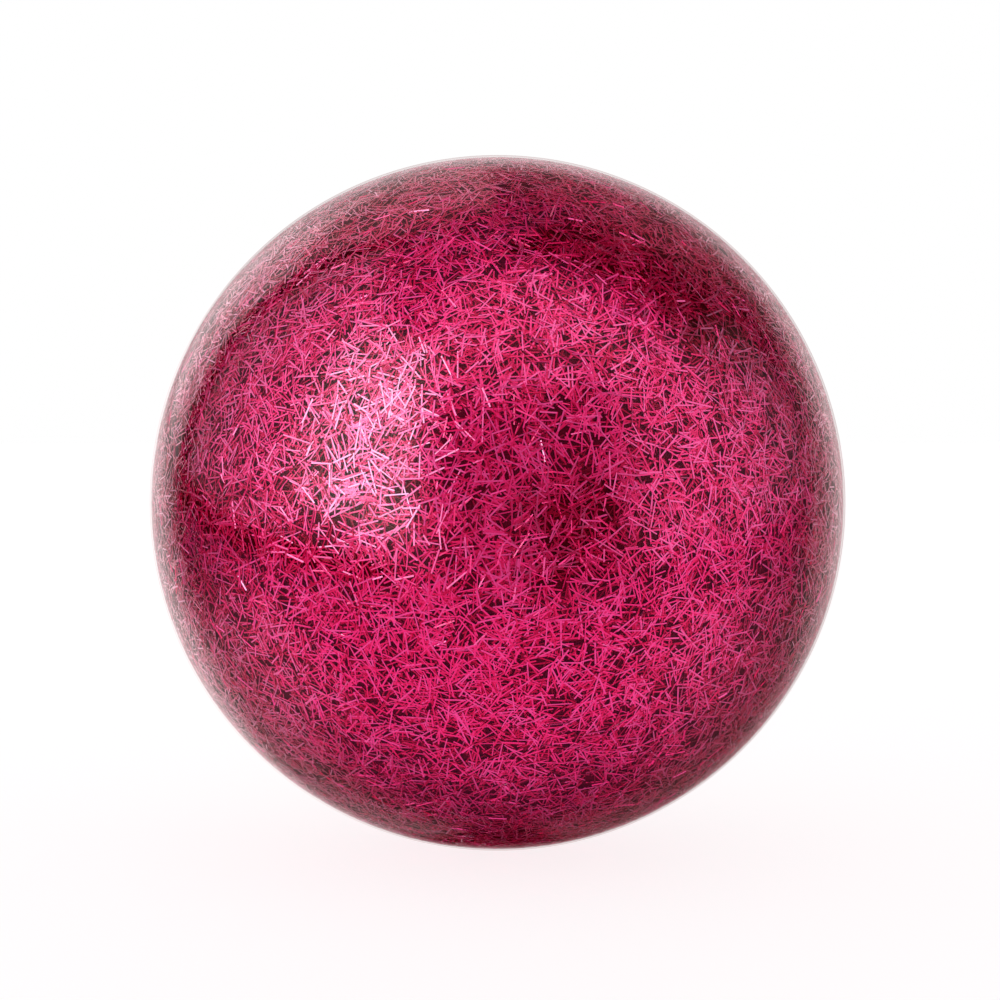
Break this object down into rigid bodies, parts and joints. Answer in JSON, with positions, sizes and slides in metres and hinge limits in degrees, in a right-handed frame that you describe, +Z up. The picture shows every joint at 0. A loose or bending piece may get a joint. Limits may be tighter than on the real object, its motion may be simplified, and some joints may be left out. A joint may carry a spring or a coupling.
{
  "type": "rhythmic gymnastics ball",
  "caption": "Air-filled ball for rhythmic gymnastics, glossy clear skin over metallic fuchsia glitter strands, with a flush rubber valve and push-in plug.",
  "frame": {"origin": "centre of the ball", "axes": "+Z up, +Y out of the ball along the valve's axis, so -Y faces the viewer and hides the valve"},
  "size_m": [0.185, 0.185, 0.185],
  "materials": {
    "clear_pvc": "gloss",
    "glitter": "metallic strands in clear PVC",
    "crimson_pvc": "satin",
    "valve_rubber": "matte",
    "plug_plastic": "satin"
  },
  "bodies": {
    "ball": {"clear_skin": "clear_pvc", "glitter_layer": "glitter", "base_shell": "crimson_pvc", "valve_boss": "valve_rubber"},
    "plug": {"valve_plug": "plug_plastic"}
  },
  "joints": [
    {"name": "plug_pull", "type": "slide", "parent": "ball", "child": "plug", "axis": [0, 1, 0], "range_m": [0, 0.025]}
  ]
}
